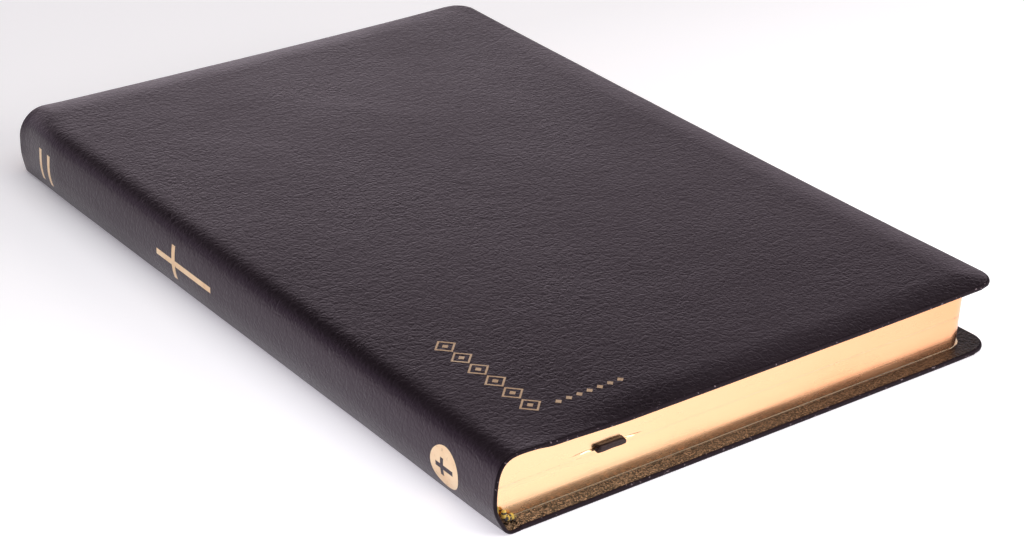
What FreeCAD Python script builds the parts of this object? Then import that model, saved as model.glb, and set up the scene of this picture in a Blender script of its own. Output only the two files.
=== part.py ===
import FreeCAD, Part
import math
import os

import Sketcher

# A slim limp-bound bible, closed and lying on its back cover. Millimetres.
# X runs from the spine (-X) to the fore edge (+X), Y from the tail (-Y) to the head (+Y), Z up.
# The origin is the middle of the footprint, on the face that the book rests on.
#
# The spine pieces are made in two halves that meet at the middle of the thickness, because the
# book opens there. "rear" is the lower half, next to the back cover, and "front" the upper one.

DRIVING_SIZES = [
    ("book_height", 210.0, "cover, tail to head"),
    ("cover_width", 140.0, "cover, spine to fore edge"),
    ("book_thickness", 18.3, "closed book, outside"),
    ("front_shoulder", 8.0, "outside radius where the spine turns into the front cover"),
    ("rear_shoulder", 2.2, "outside radius where the spine turns into the back cover"),
    ("corner_radius", 6.0, "rounded fore corners of both covers"),
    ("leather_thickness", 0.8, "cover leather"),
    ("card_thickness", 0.4, "liner card, and the pared turn-in of the leather around it"),
    ("turn_in_width", 12.0, "leather folded inside along the edges of a cover"),
    ("endpaper_thickness", 0.12, "pastedown glued inside a cover"),
    ("leaf_thickness", 0.08, "one free leaf"),
    ("leaf_clearance", 0.05, "air on each side of a free leaf"),
    ("head_square", 4.0, "cover beyond the pages at head and tail"),
    ("fore_square", 4.5, "cover beyond the pages at the fore edge"),
    ("page_corner_radius", 5.0, "rounded fore corners of the pages"),
    ("block_inset", 1.6, "outside of the book to the backs of the signatures"),
    ("fore_edge_lean", 0.8, "top leaf beyond the bottom leaf at the fore edge"),
    ("lining_thickness", 0.3, "paper lining inside the spine leather"),
    ("mull_thickness", 0.2, "cloth glued over the sewn backs"),
    ("thread_thickness", 0.26, "sewing thread"),
    ("hinge_strip_end", 3.0, "end of the flat strip of spine leather under the back hinge"),
    ("hinge_gap", 0.25, "gap between a cover and the spine leather beside it"),
    ("foil_thickness", 0.05, "gold foil, pressed in flush with the leather"),
    ("ribbon_width", 8.0, "marker ribbon"),
    ("ribbon_thickness", 0.3, "marker ribbon"),
    ("ribbon_curl_radius", 0.8, "rolled tail end of the ribbon"),
    ("ribbon_clearance", 0.05, "air around the ribbon between the pages"),
    ("band_radius", 0.75, "bead of a head or tail band"),
    ("band_length", 3.5, "band, measured up the spine"),
    ("band_foot", 3.6, "band, measured along the back cover, where it turns out of the spine"),
    ("band_foot_radius", 0.6, "bead of a band along its foot"),
    ("band_flange", 6.0, "flange of a band, measured down the spine from the end of the pages"),
    ("band_web", 0.6, "web that joins the bead of a band to its flange"),
    ("ribbon_start", 25.5, "near side of the ribbon at the tail, from the spine"),
    ("ribbon_drop", 1.1, "middle of the ribbon's roll, out from the end of the pages"),
    ("spine_gold_low", 4.0, "lower end of the spine bands, from the table"),
    ("spine_gold_high", 12.4, "upper end of the spine bands, from the table"),
    ("spine_band_width", 1.5, "a gold band on the spine"),
    ("spine_band_first", 190.4, "lower gold band on the spine, from the tail"),
    ("spine_band_second", 195.6, "upper gold band on the spine, from the tail"),
    ("title_cross_place", 123.3, "cross on the spine, from the tail"),
    ("title_cross_height", 8.8, "cross on the spine, from the table"),
    ("title_cross_upright", 25.0, "upright of the cross"),
    ("title_cross_bar", 8.6, "bar of the cross"),
    ("title_cross_rise", 4.6, "bar above the middle of the upright"),
    ("title_cross_width", 1.5, "bars of the cross"),
    ("badge_place", 18.1, "round badge on the spine, from the tail"),
    ("badge_height", 7.9, "round badge on the spine, from the table"),
    ("badge_radius", 4.9, "round badge on the spine"),
    ("badge_cross_upright", 6.0, "upright of the cross left open in the badge"),
    ("badge_cross_bar", 4.2, "bar of the cross in the badge"),
    ("badge_cross_rise", 0.8, "bar above the middle of the upright in the badge"),
    ("badge_cross_width", 1.1, "bars of the cross in the badge"),
    ("chain_place", 17.3, "chain of lozenges on the cover, from the spine"),
    ("chain_start", 14.5, "first link of the chain, from the tail"),
    ("chain_pitch", 6.0, "from one link of the chain to the next"),
    ("link_side", 4.0, "side of a link of the chain"),
    ("link_opening", 3.1, "side of the opening in a link"),
    ("small_lozenge", 1.2, "side of a small lozenge"),
    ("row_place", 12.4, "row of small lozenges, from the tail"),
    ("row_start", 23.0, "first of the row, from the spine"),
    ("row_pitch", 2.7, "from one small lozenge to the next"),
]

SIGNATURES_PER_HALF = 16
RIBBON_SIGNATURE = 14
STITCH_STATIONS = 6
CHAIN_LINKS = 6
ROW_LOZENGES = 7
RIBBON_SLANT = 6.0

doc = FreeCAD.newDocument("bible")
sheet = doc.addObject("Spreadsheet::Sheet", "dims")
subparts = []


def fill_sheet():
    """Write one row per driving size: name, value and what it measures."""
    for row, (alias, value, note) in enumerate(DRIVING_SIZES, start=1):
        sheet.set(f"A{row}", alias)
        sheet.set(f"B{row}", str(value))
        sheet.set(f"C{row}", note)
        sheet.setAlias(f"B{row}", alias)
    doc.recompute()


class Size:
    """A length: its present value, and the sheet expression that gives it."""

    def __init__(self, value, text):
        self.value = value
        self.text = text

    def __add__(self, other):
        other = as_size(other)
        return Size(self.value + other.value, f"({self.text} + {other.text})")

    def __sub__(self, other):
        other = as_size(other)
        return Size(self.value - other.value, f"({self.text} - {other.text})")

    def __mul__(self, factor):
        return Size(self.value * factor, f"({self.text} * {factor})")

    def __truediv__(self, divisor):
        return Size(self.value / divisor, f"({self.text} / {divisor})")

    def __neg__(self):
        return self * -1


def as_size(amount):
    """Let a plain number stand beside a Size."""
    if isinstance(amount, Size):
        return amount
    return Size(float(amount), f"({float(amount)})")


def dim(alias):
    """The driving size with this name in the sheet."""
    return Size(float(sheet.get(alias)), f"dims.{alias}")


def bind(item, prop, size):
    """Set a property from the sheet."""
    item.setExpression(prop, as_size(size).text)


def keep(item, label):
    """Name a finished sub-part and put it on the list of files to write."""
    item.Label = label
    subparts.append(item)
    return item


# ---------------------------------------------------------------- building blocks


def new_body(name):
    """An empty body."""
    return doc.addObject("PartDesign::Body", name)


def new_sketch(body, role, name):
    """A sketch on one of the body's own origin planes."""
    sketch = body.newObject("Sketcher::SketchObject", name)
    plane = [feature for feature in body.Origin.OriginFeatures if feature.Role == role][0]
    sketch.AttachmentSupport = [(plane, "")]
    sketch.MapMode = "FlatFace"
    return sketch


class Corner:
    """A corner of an outline, and the bend from it to the next one (None for a straight run)."""

    def __init__(self, across, along, centre=None, radius=None, clockwise=False):
        self.across = as_size(across)
        self.along = as_size(along)
        self.centre = centre
        self.radius = radius
        self.clockwise = clockwise

    def point(self):
        return FreeCAD.Vector(self.across.value, self.along.value, 0)


def angle_about(centre, point):
    """Direction from a centre to a point, in radians."""
    return math.atan2(point.y - centre.y, point.x - centre.x)


def add_run(sketch, corner, following):
    """Draw one side of an outline. Returns its index and its first and last end."""
    if corner.radius is None:
        return sketch.addGeometry(Part.LineSegment(corner.point(), following.point()), False), 1, 2
    centre = FreeCAD.Vector(corner.centre[0].value, corner.centre[1].value, 0)
    circle = Part.Circle(centre, FreeCAD.Vector(0, 0, 1), corner.radius.value)
    first = angle_about(centre, corner.point())
    last = angle_about(centre, following.point())
    if corner.clockwise:
        side = sketch.addGeometry(Part.ArcOfCircle(circle, last, first), False)
        return side, 2, 1
    side = sketch.addGeometry(Part.ArcOfCircle(circle, first, last), False)
    return side, 1, 2


def constrain(sketch, name, size, *arguments):
    """Add one named dimension to a sketch and bind it to the sheet."""
    index = sketch.addConstraint(Sketcher.Constraint(*arguments, as_size(size).value))
    sketch.renameConstraint(index, name)
    sketch.setExpression(f"Constraints.{name}", as_size(size).text)


def draw_outline(sketch, corners):
    """Draw a closed outline whose every corner and radius is bound to the sheet."""
    runs = []
    for index, corner in enumerate(corners):
        runs.append(add_run(sketch, corner, corners[(index + 1) % len(corners)]))
    for index, (side, _, last) in enumerate(runs):
        next_side, next_first, _ = runs[(index + 1) % len(runs)]
        sketch.addConstraint(Sketcher.Constraint("Coincident", side, last, next_side, next_first))
    for index, (side, first, _) in enumerate(runs):
        corner = corners[index]
        constrain(sketch, f"across{index}", corner.across, "DistanceX", -1, 1, side, first)
        constrain(sketch, f"along{index}", corner.along, "DistanceY", -1, 1, side, first)
        if corner.radius is not None:
            constrain(sketch, f"bend{index}", corner.radius, "Radius", side)


def rectangle(x_low, x_high, y_half):
    """Corners of a rectangle that is centred on the X axis."""
    return [Corner(x_low, -y_half), Corner(x_high, -y_half), Corner(x_high, y_half), Corner(x_low, y_half)]


def pad_up(body, sketch, height):
    """Pad a sketch on the XY plane upwards."""
    pad = body.newObject("PartDesign::Pad", "Pad")
    pad.Profile = sketch
    bind(pad, "Length", height)
    doc.recompute()
    return pad


def round_fore_corners(body, pad, radius):
    """Round the two upright edges at the fore edge, which may lean a little."""
    fore = pad.Shape.BoundBox.XMax - dim("fore_edge_lean").value
    names = []
    for number, edge in enumerate(pad.Shape.Edges, start=1):
        first, last = edge.Vertexes[0], edge.Vertexes[-1]
        upright = abs(first.Z - last.Z) > 0.01
        if upright and min(first.X, last.X) > fore:
            names.append(f"Edge{number}")
    if len(names) != 2:
        raise RuntimeError(f"{body.Name}: found {len(names)} fore corners to round")
    fillet = body.newObject("PartDesign::Fillet", "FilletForeCorners")
    fillet.Base = (pad, names)
    bind(fillet, "Radius", radius)
    doc.recompute()
    return fillet


def leaf_like(label, x_low, x_high, y_half, thickness, height, corner=None):
    """A flat rectangular piece, such as a leaf or a card, with its underside at a height."""
    body = new_body(label)
    sketch = new_sketch(body, "XY_Plane", "Outline")
    draw_outline(sketch, rectangle(x_low, x_high, y_half))
    pad = pad_up(body, sketch, thickness)
    if corner is not None:
        round_fore_corners(body, pad, corner)
    bind(body, "Placement.Base.z", height)
    return keep(body, label)


def profile_body(name, corners, length, fore_corner=None):
    """A body with a constant section in XZ, padded both ways along Y. Its fore corners can be rounded."""
    body = new_body(name)
    sketch = new_sketch(body, "XZ_Plane", "Section")
    draw_outline(sketch, corners)
    pad = body.newObject("PartDesign::Pad", "Pad")
    pad.Profile = sketch
    pad.SideType = "Symmetric"
    bind(pad, "Length", length)
    doc.recompute()
    if fore_corner is not None:
        round_fore_corners(body, pad, fore_corner)
    return body


def box_between(name, low, high):
    """A box from one corner to the other, bound to the sheet."""
    box = doc.addObject("Part::Box", name)
    for prop, axis in (("Length", 0), ("Width", 1), ("Height", 2)):
        bind(box, prop, as_size(high[axis]) - low[axis])
    for letter, start in zip("xyz", low):
        bind(box, f"Placement.Base.{letter}", start)
    return box


def joined(name, pieces):
    """Several solids as one object."""
    fuse = doc.addObject("Part::MultiFuse", name)
    fuse.Shapes = pieces
    return fuse


def common(name, base, tool):
    """The space that two objects share."""
    item = doc.addObject("Part::Common", name)
    item.Base = base
    item.Tool = tool
    return item


def cut(name, base, tool):
    """One object less another."""
    item = doc.addObject("Part::Cut", name)
    item.Base = base
    item.Tool = tool
    return item


# ---------------------------------------------------------------- places used by several pieces


fill_sheet()

SPINE = -dim("cover_width") / 2
FORE_EDGE = dim("cover_width") / 2
TAIL = -dim("book_height") / 2
TOP = dim("book_thickness")
MIDDLE = TOP / 2
COVER_HALF_HEIGHT = dim("book_height") / 2
PAGE_HALF_HEIGHT = COVER_HALF_HEIGHT - dim("head_square")
PAGE_FORE_EDGE = FORE_EDGE - dim("fore_square")
SHOULDER_X = SPINE + dim("front_shoulder")
SHOULDER_Z = TOP - dim("front_shoulder")
REAR_SHOULDER_X = SPINE + dim("rear_shoulder")
FRONT_COVER_START = SHOULDER_X + dim("hinge_gap")
BACK_COVER_START = SPINE + dim("hinge_strip_end") + dim("hinge_gap")
COVER_BUILD = dim("leather_thickness") + dim("card_thickness")
SPLIT_GAP = dim("leaf_clearance")
LEAF_ROOM = dim("leaf_thickness") + dim("leaf_clearance") * 2


def front_shell_section(inset, thickness):
    """Section of one layer of the front half of the spine: upright, then around the shoulder."""
    centre = (SHOULDER_X, SHOULDER_Z)
    outer = dim("front_shoulder") - inset
    inner = outer - thickness
    low = MIDDLE + SPLIT_GAP
    return [
        Corner(SPINE + inset, low),
        Corner(SPINE + inset, SHOULDER_Z, centre, outer, clockwise=True),
        Corner(SHOULDER_X, TOP - inset),
        Corner(SHOULDER_X, TOP - inset - thickness, centre, inner),
        Corner(SPINE + inset + thickness, SHOULDER_Z),
        Corner(SPINE + inset + thickness, low),
    ]


def rear_shell_section(inset, thickness, strip_end):
    """Section of one layer of the rear half: upright, the small shoulder, then a flat strip."""
    centre = (REAR_SHOULDER_X, dim("rear_shoulder"))
    outer = dim("rear_shoulder") - inset
    inner = outer - thickness
    high = MIDDLE - SPLIT_GAP
    inset = as_size(inset)
    return [
        Corner(SPINE + inset, high),
        Corner(SPINE + inset, dim("rear_shoulder"), centre, outer),
        Corner(REAR_SHOULDER_X, inset),
        Corner(strip_end, inset),
        Corner(strip_end, inset + thickness),
        Corner(REAR_SHOULDER_X, inset + thickness, centre, inner, clockwise=True),
        Corner(SPINE + inset + thickness, dim("rear_shoulder")),
        Corner(SPINE + inset + thickness, high),
    ]


def spine_layer(name, inset, thickness, half, length):
    """One layer of the spine in its front or rear half."""
    if half == "front":
        section = front_shell_section(inset, thickness)
    else:
        section = rear_shell_section(inset, thickness, SPINE + dim("hinge_strip_end"))
    return profile_body(name, section, length)


# ---------------------------------------------------------------- gold ornaments


def cross(name, sizes, height, place, low, high):
    """A plain Latin cross on the spine with its head towards the book's head, made of two bars.

    sizes names its sheet values: sizes_upright, sizes_bar, sizes_width, and sizes_rise, which is how
    far the bar stands above the middle of the upright.
    """
    width = dim(f"{sizes}_width")
    spans = [(width, dim(f"{sizes}_upright"), as_size(0)), (dim(f"{sizes}_bar"), width, dim(f"{sizes}_rise"))]
    bars = []
    for number, (wide, tall, lift) in enumerate(spans, start=1):
        middle = place + lift
        bars.append(box_between(f"{name}_bar{number}", (low, middle - tall / 2, height - wide / 2),
                                (high, middle + tall / 2, height + wide / 2)))
    return joined(name, bars)


def badge(name, low, high):
    """A round badge on the spine with a small cross left open in it."""
    place = TAIL + dim("badge_place")
    disc = doc.addObject("Part::Cylinder", f"{name}_disc")
    bind(disc, "Radius", dim("badge_radius"))
    bind(disc, "Height", high - low)
    disc.Placement.Rotation = FreeCAD.Rotation(FreeCAD.Vector(0, 1, 0), 90)
    bind(disc, "Placement.Base.x", low)
    bind(disc, "Placement.Base.y", place)
    bind(disc, "Placement.Base.z", dim("badge_height"))
    opening = cross(f"{name}_opening", "badge_cross", dim("badge_height"), place, low, high)
    return cut(name, disc, opening)


def spine_ornaments():
    """Two bands near the head, a cross above the middle and a badge near the tail.

    They run right through the spine, and are trimmed to the thickness of the foil afterwards.
    """
    low = SPINE - 1
    high = SPINE + 5
    head_bands = []
    for which in ("first", "second"):
        start = TAIL + dim(f"spine_band_{which}")
        head_bands.append(box_between(f"spine_band_{which}", (low, start, dim("spine_gold_low")),
                                      (high, start + dim("spine_band_width"), dim("spine_gold_high"))))
    title = cross("spine_cross", "title_cross", dim("title_cross_height"), TAIL + dim("title_cross_place"),
                  low, high)
    return joined("spine_ornaments", head_bands + [title, badge("spine_badge", low, high)])


def lozenge(name, x, y, side):
    """A square of foil set on its point, centred on x and y, flush with the front cover."""
    box = doc.addObject("Part::Box", name)
    bind(box, "Length", side)
    bind(box, "Width", side)
    bind(box, "Height", dim("foil_thickness"))
    box.Placement.Rotation = FreeCAD.Rotation(FreeCAD.Vector(0, 0, 1), 45)
    bind(box, "Placement.Base.x", x)
    bind(box, "Placement.Base.y", as_size(y) - side / math.sqrt(2))
    bind(box, "Placement.Base.z", TOP - dim("foil_thickness"))
    return box


def cover_ornaments():
    """A chain of open lozenges up the cover beside the spine, and a row of small ones along the tail."""
    pieces = []
    small = dim("small_lozenge")
    for number in range(CHAIN_LINKS):
        x = SPINE + dim("chain_place")
        y = TAIL + dim("chain_start") + dim("chain_pitch") * number
        outer = lozenge(f"chain_outer{number + 1}", x, y, dim("link_side"))
        inner = lozenge(f"chain_inner{number + 1}", x, y, dim("link_opening"))
        pieces.append(cut(f"chain_link{number + 1}", outer, inner))
        pieces.append(lozenge(f"chain_centre{number + 1}", x, y, small))
    for number in range(ROW_LOZENGES):
        x = SPINE + dim("row_start") + dim("row_pitch") * number
        pieces.append(lozenge(f"row_lozenge{number + 1}", x, TAIL + dim("row_place"), small))
    return joined("cover_foil", pieces)


# ---------------------------------------------------------------- covers


def cover_leather(name, x_start, z_low, turn_in_low):
    """One cover: leather with its edges pared and folded inside around the liner card."""
    body = new_body(name)
    outline = new_sketch(body, "XY_Plane", "Outline")
    draw_outline(outline, rectangle(x_start, FORE_EDGE, COVER_HALF_HEIGHT))
    pad = pad_up(body, outline, COVER_BUILD)
    rounded = round_fore_corners(body, pad, dim("corner_radius"))
    solid_volume = rounded.Shape.Volume
    window = new_sketch(body, "XY_Plane", "TurnInWindow")
    draw_outline(window, rectangle(x_start - 1, card_fore_edge(), card_half_height()))
    bind(window, "AttachmentOffset.Base.z", turn_in_low)
    pocket = body.newObject("PartDesign::Pocket", "PocketForCard")
    pocket.Profile = window
    pocket.Reversed = True
    bind(pocket, "Length", dim("card_thickness"))
    doc.recompute()
    card_volume = dim("card_thickness").value * card_half_height().value * 2
    card_volume *= card_fore_edge().value - x_start.value
    if abs(solid_volume - pocket.Shape.Volume - card_volume) > 0.01 * card_volume:
        raise RuntimeError(f"{name}: the window for the card isn't cut")
    bind(body, "Placement.Base.z", z_low)
    return body


def card_fore_edge():
    """Fore edge of the liner cards, where the turned-in leather starts."""
    return FORE_EDGE - dim("turn_in_width")


def card_half_height():
    """Half the height of the liner cards."""
    return COVER_HALF_HEIGHT - dim("turn_in_width")


def make_back_cover():
    """Leather, card and pastedown of the back cover, from the floor up."""
    start = BACK_COVER_START
    leather = cover_leather("back_leather", start, as_size(0), dim("leather_thickness"))
    keep(leather, "back_cover_leather")
    leaf_like("back_cover_card", start, card_fore_edge(), card_half_height(), dim("card_thickness"),
              dim("leather_thickness"))
    leaf_like("back_pastedown", start, PAGE_FORE_EDGE, PAGE_HALF_HEIGHT, dim("endpaper_thickness"),
              COVER_BUILD, dim("page_corner_radius"))


def make_front_cover():
    """Leather with its foil, card and pastedown of the front cover, from the top down."""
    start = FRONT_COVER_START
    underside = TOP - COVER_BUILD
    leather = cover_leather("front_leather", start, underside, as_size(0))
    foil = keep(cover_ornaments(), "cover_foil")
    keep(cut("front_leather_blocked", leather, foil), "front_cover_leather")
    leaf_like("front_cover_card", start, card_fore_edge(), card_half_height(), dim("card_thickness"),
              underside)
    leaf_like("front_pastedown", start, PAGE_FORE_EDGE, PAGE_HALF_HEIGHT, dim("endpaper_thickness"),
              underside - dim("endpaper_thickness"), dim("page_corner_radius"))


# ---------------------------------------------------------------- spine


def stitch_slices():
    """Narrow slices across the spine, one at each sewing station."""
    spacing = PAGE_HALF_HEIGHT * 2 / (STITCH_STATIONS + 1)
    slices = []
    for number in range(1, STITCH_STATIONS + 1):
        middle = -PAGE_HALF_HEIGHT + spacing * number
        low = (SPINE, middle - 0.25, 0)
        high = (SHOULDER_X, middle + 0.25, TOP)
        slices.append(box_between(f"stitch_slice{number}", low, high))
    return joined("stitch_slices", slices)


def make_spine():
    """Foil, leather, lining, mull and sewing thread, each in its front and rear half."""
    ornaments = spine_ornaments()
    stations = stitch_slices()
    lining_inset = dim("leather_thickness")
    mull_inset = lining_inset + dim("lining_thickness")
    thread_inset = mull_inset + dim("mull_thickness")
    for half in ("front", "rear"):
        foil_layer = spine_layer(f"foil_layer_{half}", as_size(0), dim("foil_thickness"), half,
                                 dim("book_height"))
        foil = keep(common(f"spine_foil_{half}", foil_layer, ornaments), f"spine_foil_{half}")
        skin = spine_layer(f"skin_{half}", as_size(0), dim("leather_thickness"), half,
                           dim("book_height"))
        keep(cut(f"leather_{half}", skin, foil), f"spine_leather_{half}")
        lining = spine_layer(f"lining_{half}", lining_inset, dim("lining_thickness"), half,
                             PAGE_HALF_HEIGHT * 2)
        keep(lining, f"spine_lining_{half}")
        mull = spine_layer(f"mull_{half}", mull_inset, dim("mull_thickness"), half,
                           (PAGE_HALF_HEIGHT - dim("turn_in_width")) * 2)
        keep(mull, f"mull_{half}")
        thread_layer = spine_layer(f"thread_layer_{half}", thread_inset, dim("thread_thickness"), half,
                                   PAGE_HALF_HEIGHT * 2)
        keep(common(f"thread_{half}", thread_layer, stations), f"sewing_thread_{half}")


def make_band(label, end_sign):
    """A head or tail band: a bead of cloth on the end of the pages, with a flange on the spine.

    The bead comes down the spine and turns along the back cover at its foot.
    """
    bottom = dim("block_inset")
    bead_x = SPINE + dim("block_inset") + dim("band_radius")
    bead_y = (PAGE_HALF_HEIGHT + dim("band_radius")) * end_sign
    bead = doc.addObject("Part::Cylinder", f"{label}_bead")
    bind(bead, "Radius", dim("band_radius"))
    bind(bead, "Height", dim("band_length"))
    bind(bead, "Placement.Base.x", bead_x)
    bind(bead, "Placement.Base.y", bead_y)
    bind(bead, "Placement.Base.z", bottom)
    foot = doc.addObject("Part::Cylinder", f"{label}_foot")
    bind(foot, "Radius", dim("band_foot_radius"))
    bind(foot, "Height", dim("band_foot"))
    foot.Placement.Rotation = FreeCAD.Rotation(FreeCAD.Vector(0, 1, 0), 90)
    bind(foot, "Placement.Base.x", bead_x)
    bind(foot, "Placement.Base.y", bead_y)
    bind(foot, "Placement.Base.z", bottom + dim("band_radius"))
    flange_x = SPINE + dim("block_inset") - dim("thread_thickness")
    flange_reach = PAGE_HALF_HEIGHT - dim("band_flange")
    ends = [flange_reach * end_sign, bead_y]
    ends.sort(key=lambda place: place.value)
    flange = box_between(f"{label}_flange", (flange_x, ends[0], dim("rear_shoulder")),
                         (SPINE + dim("block_inset"), ends[1], bottom + dim("band_length")))
    half_web = dim("band_web") / 2
    web = box_between(f"{label}_web", (flange_x, bead_y - half_web, dim("rear_shoulder")),
                      (bead_x, bead_y + half_web, bottom + dim("band_length")))
    keep(joined(label, [bead, foot, flange, web]), label)


# ---------------------------------------------------------------- pages


def page_envelope(half):
    """Outline of half the page block, with its back rounded to follow the spine."""
    inset = dim("block_inset")
    lean = dim("fore_edge_lean") / 2
    height = PAGE_HALF_HEIGHT * 2
    rounding = dim("page_corner_radius")
    if half == "front":
        centre = (SHOULDER_X, SHOULDER_Z)
        low = MIDDLE + LEAF_ROOM
        return profile_body("front_pages", [
            Corner(SPINE + inset, low),
            Corner(SPINE + inset, SHOULDER_Z, centre, dim("front_shoulder") - inset, clockwise=True),
            Corner(SHOULDER_X, TOP - inset),
            Corner(PAGE_FORE_EDGE, TOP - inset),
            Corner(PAGE_FORE_EDGE - lean, low),
        ], height, rounding)
    centre = (REAR_SHOULDER_X, dim("rear_shoulder"))
    high = MIDDLE - LEAF_ROOM
    return profile_body("rear_pages", [
        Corner(SPINE + inset, high),
        Corner(SPINE + inset, dim("rear_shoulder"), centre, dim("rear_shoulder") - inset),
        Corner(REAR_SHOULDER_X, inset),
        Corner(PAGE_FORE_EDGE - lean * 2, inset),
        Corner(PAGE_FORE_EDGE - lean, high),
    ], height, rounding)


def signature_height():
    """Thickness of one pressed signature."""
    return (MIDDLE - dim("block_inset") - LEAF_ROOM) / SIGNATURES_PER_HALF


def ribbon_underside():
    """The ribbon lies on the signature below its own, counted from the front cover."""
    return MIDDLE + LEAF_ROOM + signature_height() * (SIGNATURES_PER_HALF - RIBBON_SIGNATURE)


def ribbon_strip(name, margin):
    """The flat run of the ribbon, from the spine at the head out past the tail, with a margin."""
    length = dim("book_height") - dim("head_square")
    strip = doc.addObject("Part::Box", name)
    bind(strip, "Length", dim("ribbon_width") + margin * 2)
    bind(strip, "Width", length)
    bind(strip, "Height", dim("ribbon_thickness") + margin * 2)
    strip.Placement.Rotation = FreeCAD.Rotation(FreeCAD.Vector(0, 0, 1), RIBBON_SLANT)
    bind(strip, "Placement.Base.x", SPINE + dim("ribbon_start") - margin)
    bind(strip, "Placement.Base.y", -COVER_HALF_HEIGHT + dim("head_square") / 2)
    bind(strip, "Placement.Base.z", ribbon_underside() + dim("ribbon_clearance") - margin)
    return strip


def make_ribbon():
    """The marker ribbon, clipped to the head of the pages, with its tail end rolled up."""
    strip = ribbon_strip("ribbon_strip", as_size(0))
    reach = box_between("ribbon_reach", (SPINE + dim("block_inset"), -COVER_HALF_HEIGHT, 0),
                        (PAGE_FORE_EDGE, PAGE_HALF_HEIGHT, TOP))
    flat = common("ribbon_flat", strip, reach)
    curl = doc.addObject("Part::Cylinder", "ribbon_curl")
    bind(curl, "Radius", dim("ribbon_curl_radius"))
    bind(curl, "Height", dim("ribbon_width"))
    curl.Placement.Rotation = FreeCAD.Rotation(FreeCAD.Vector(0, 1, 0), 90)
    bind(curl, "Placement.Base.x", SPINE + dim("ribbon_start"))
    bind(curl, "Placement.Base.y", -PAGE_HALF_HEIGHT - dim("ribbon_drop"))
    bind(curl, "Placement.Base.z", ribbon_underside() + dim("ribbon_clearance") + dim("ribbon_thickness") / 2)
    keep(joined("ribbon", [flat, curl]), "ribbon_marker")


def make_signatures():
    """Sixteen signatures in each half, numbered from the front cover down."""
    front = page_envelope("front")
    rear = page_envelope("rear")
    channel = ribbon_strip("ribbon_channel", dim("ribbon_clearance"))
    for number in range(1, 2 * SIGNATURES_PER_HALF + 1):
        label = f"signature_{number:02d}"
        in_front = number <= SIGNATURES_PER_HALF
        if in_front:
            bottom = MIDDLE + LEAF_ROOM + signature_height() * (SIGNATURES_PER_HALF - number)
        else:
            bottom = dim("block_inset") + signature_height() * (2 * SIGNATURES_PER_HALF - number)
        slab = box_between(f"slab_{number:02d}", (SPINE, -COVER_HALF_HEIGHT, bottom),
                           (FORE_EDGE, COVER_HALF_HEIGHT, bottom + signature_height()))
        pages = common(f"pages_{number:02d}", slab, front if in_front else rear)
        if number == RIBBON_SIGNATURE:
            pages = cut("pages_with_channel", pages, channel)
        keep(pages, label)


def make_leaves():
    """The four single leaves that turn on their own: two flyleaves and the two middle leaves."""
    height = PAGE_HALF_HEIGHT
    thick = dim("leaf_thickness")
    clear = dim("leaf_clearance")
    fold = SPINE + dim("block_inset") + 0.1
    lean = dim("fore_edge_lean") / 2
    corner = dim("page_corner_radius")
    cover_face = COVER_BUILD + dim("endpaper_thickness")
    leaf_like("back_flyleaf", BACK_COVER_START, PAGE_FORE_EDGE - lean * 2, height, thick,
              cover_face + clear, corner)
    leaf_like("centre_leaf_rear", fold, PAGE_FORE_EDGE - lean, height, thick,
              MIDDLE - clear / 2 - thick, corner)
    leaf_like("centre_leaf_front", fold, PAGE_FORE_EDGE - lean, height, thick,
              MIDDLE + clear / 2, corner)
    leaf_like("front_flyleaf", FRONT_COVER_START, PAGE_FORE_EDGE, height, thick,
              TOP - cover_face - clear - thick, corner)


# ---------------------------------------------------------------- checks and files


def check_document():
    """Stop if any object failed, or a sub-part has no valid solid."""
    for item in doc.Objects:
        if {"Invalid", "Error"} & set(item.State):
            raise RuntimeError(f"{item.Name} failed: {item.State}")
    for item in subparts:
        shape = item.Shape
        if shape.isNull() or not shape.isValid() or not shape.Solids or shape.Volume <= 0:
            raise RuntimeError(f"{item.Label} has no valid solid")


def write_files():
    """Write one STEP file per sub-part."""
    os.makedirs("parts", exist_ok=True)
    for item in subparts:
        item.Shape.exportStep(f"parts/{item.Label}.step")
        box = item.Shape.BoundBox
        print(f"{item.Label:22s} solids {len(item.Shape.Solids)}  volume {item.Shape.Volume:10.2f}"
              f"  x {box.XMin:8.2f} {box.XMax:8.2f}  y {box.YMin:8.2f} {box.YMax:8.2f}"
              f"  z {box.ZMin:6.2f} {box.ZMax:6.2f}")


make_back_cover()
make_front_cover()
make_spine()
make_band("tail_band", -1)
make_band("head_band", 1)
make_signatures()
make_ribbon()
make_leaves()
doc.recompute()
check_document()
write_files()
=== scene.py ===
import math
import random

import bmesh
import bpy
import numpy as np
from mathutils import Euler, Matrix, Vector, noise


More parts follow.
